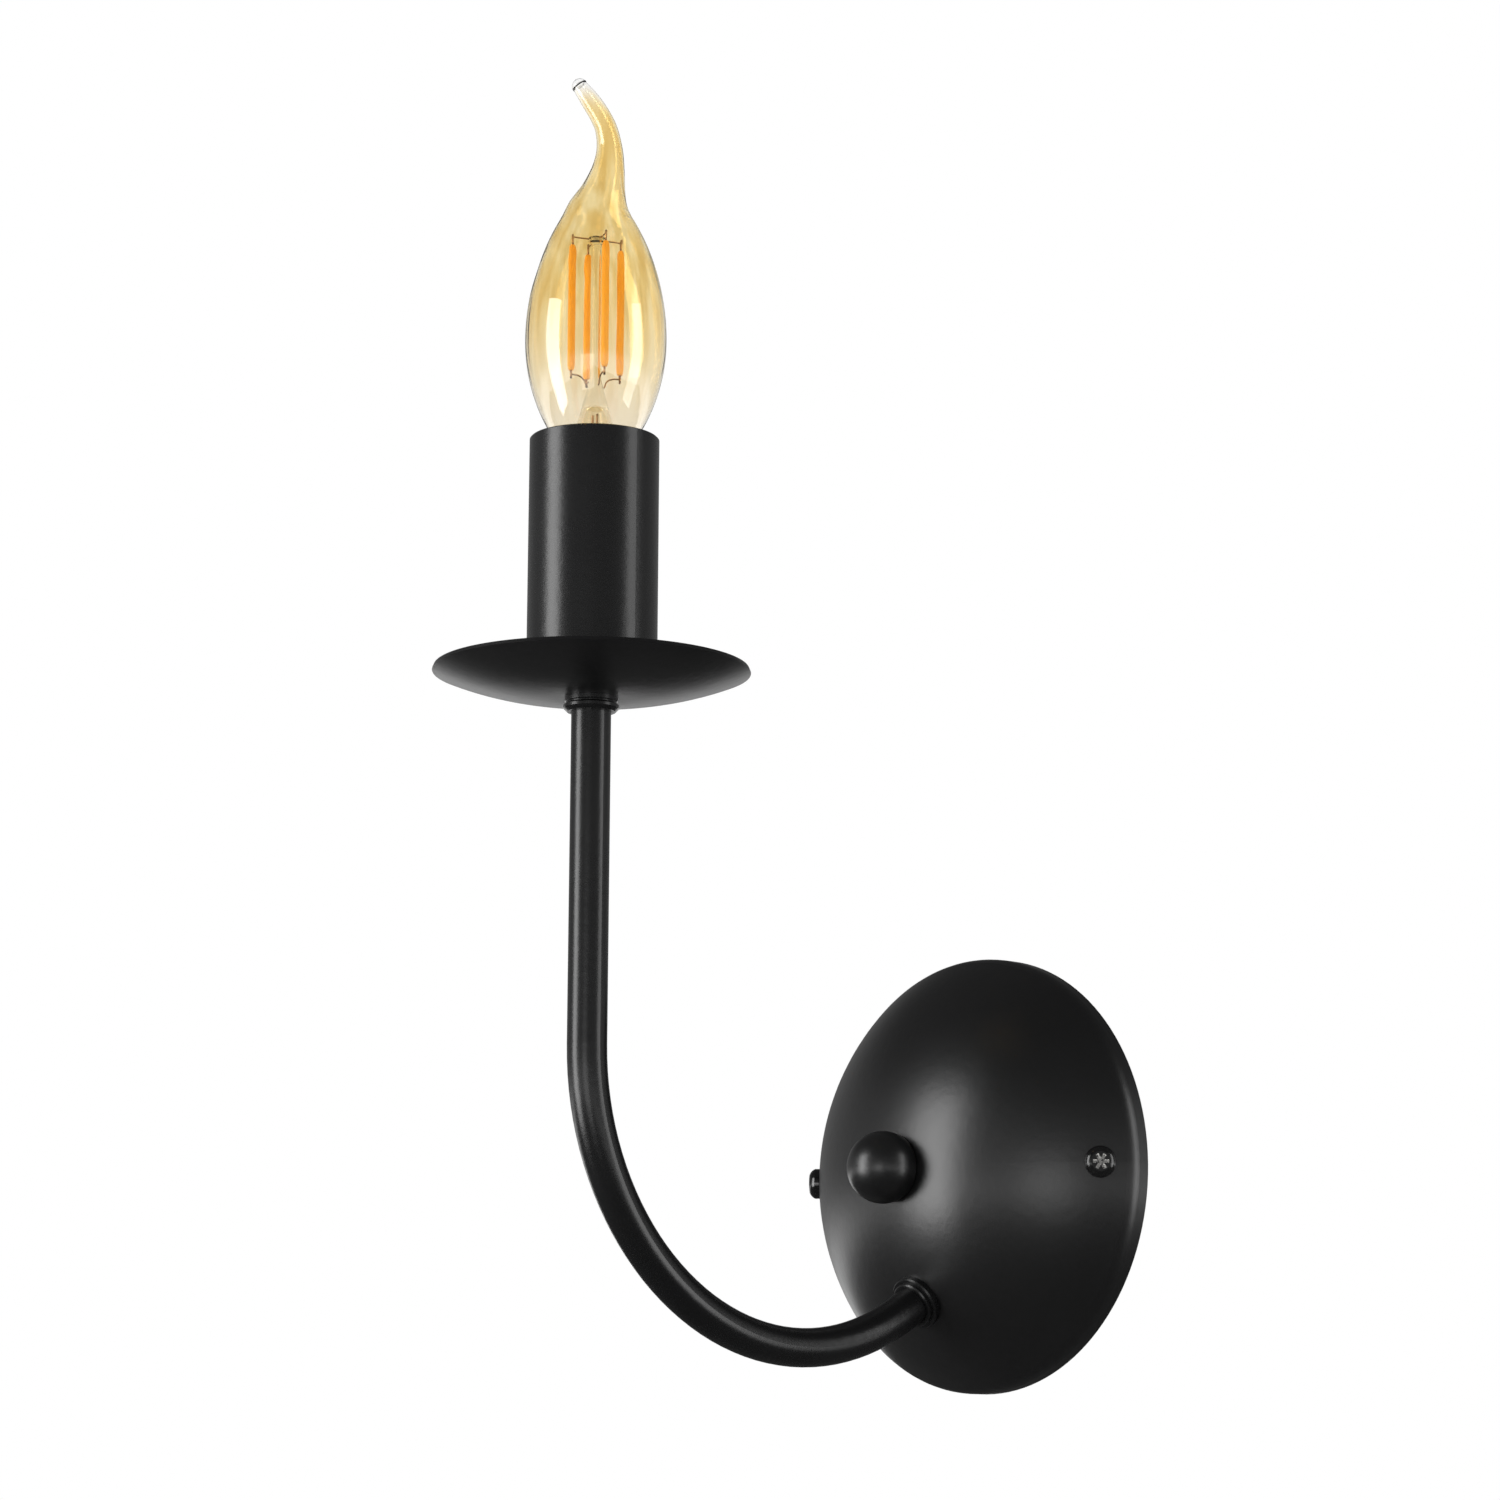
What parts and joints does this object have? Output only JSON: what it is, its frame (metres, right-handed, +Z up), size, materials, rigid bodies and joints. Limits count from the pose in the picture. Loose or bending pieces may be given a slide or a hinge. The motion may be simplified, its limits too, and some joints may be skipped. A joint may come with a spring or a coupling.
{
  "type": "wall sconce",
  "caption": "Wall light with a domed round canopy, a slim J-shaped arm, a drip dish and a candle sleeve that holds a flame-tip lamp.",
  "frame": {"origin": "centre of the round canopy on the wall plane, midway between the two wall-screw slots", "axes": "+Z up, -Y straight out from the wall, +X to the right as seen facing the wall"},
  "size_m": [0.116, 0.181, 0.3322],
  "materials": {
    "black_coat": "satin powder coat",
    "bracket_steel": "bright zinc-plated steel",
    "screw_black": "glossy black",
    "nut_steel": "zinc-plated steel",
    "holder_plastic": "moulded thermoset, off white",
    "contact_brass": "plain brass",
    "amber_glass": "amber tinted, thin blown glass",
    "clear_glass": "clear glass",
    "cap_metal": "nickel-plated cap",
    "vitrite": "black glass insulator",
    "filament": "orange silicone over the light strip",
    "lead_wire": "thin nickel and copper wire",
    "block_plastic": "white nylon",
    "wire_brown": "PVC insulation",
    "wire_blue": "PVC insulation",
    "wire_green": "PVC insulation, green with a yellow stripe"
  },
  "bodies": {
    "fixture": {"canopy": "black_coat", "wall_bracket": "bracket_steel", "canopy_screws": "screw_black", "knob_ball": "black_coat", "knob_stud": "nut_steel", "knob_washer": "nut_steel", "knob_nut": "nut_steel", "arm_tube": "black_coat", "arm_collar": "black_coat", "arm_washer": "nut_steel", "arm_nut": "nut_steel", "candle_dish": "black_coat", "dish_collar": "black_coat", "dish_nut": "nut_steel", "holder_base": "holder_plastic", "holder_body": "holder_plastic", "screw_shell": "contact_brass", "centre_contact": "contact_brass", "contact_rivet": "contact_brass", "live_terminal": "contact_brass", "neutral_terminal": "contact_brass", "terminal_screws": "nut_steel", "terminal_block": "block_plastic", "block_inserts": "contact_brass", "block_screws": "nut_steel", "live_wire": "wire_brown", "neutral_wire": "wire_blue", "earth_wire": "wire_green", "earth_washer": "nut_steel", "earth_screw": "contact_brass"},
    "sleeve": {"candle_sleeve": "black_coat"},
    "lamp_foot": {"contact_tip": "cap_metal"},
    "lamp": {"lamp_glass": "amber_glass", "lamp_cap": "cap_metal", "cap_insulator": "vitrite", "filaments": "filament", "top_support": "lead_wire", "foot_wires": "lead_wire", "glass_stem": "clear_glass", "lead_wires": "lead_wire"}
  },
  "joints": [
    {"name": "sleeve_lift", "type": "slide", "parent": "fixture", "child": "sleeve", "axis": [0, 0, 1], "range_m": [0, 0.008]},
    {"name": "lamp_rise", "type": "slide", "parent": "fixture", "child": "lamp_foot", "axis": [0, 0, 1], "range_m": [0, 0.0113]},
    {"name": "lamp_turn", "type": "hinge", "parent": "lamp_foot", "child": "lamp", "pos_m": [0, -0.141, 0.16], "axis": [0, 0, 1], "range_deg": [0, 1440]}
  ],
  "couplings": [
    {"joint": "lamp_rise", "follows": "lamp_turn", "m_per_rad": 0.00044913}
  ]
}
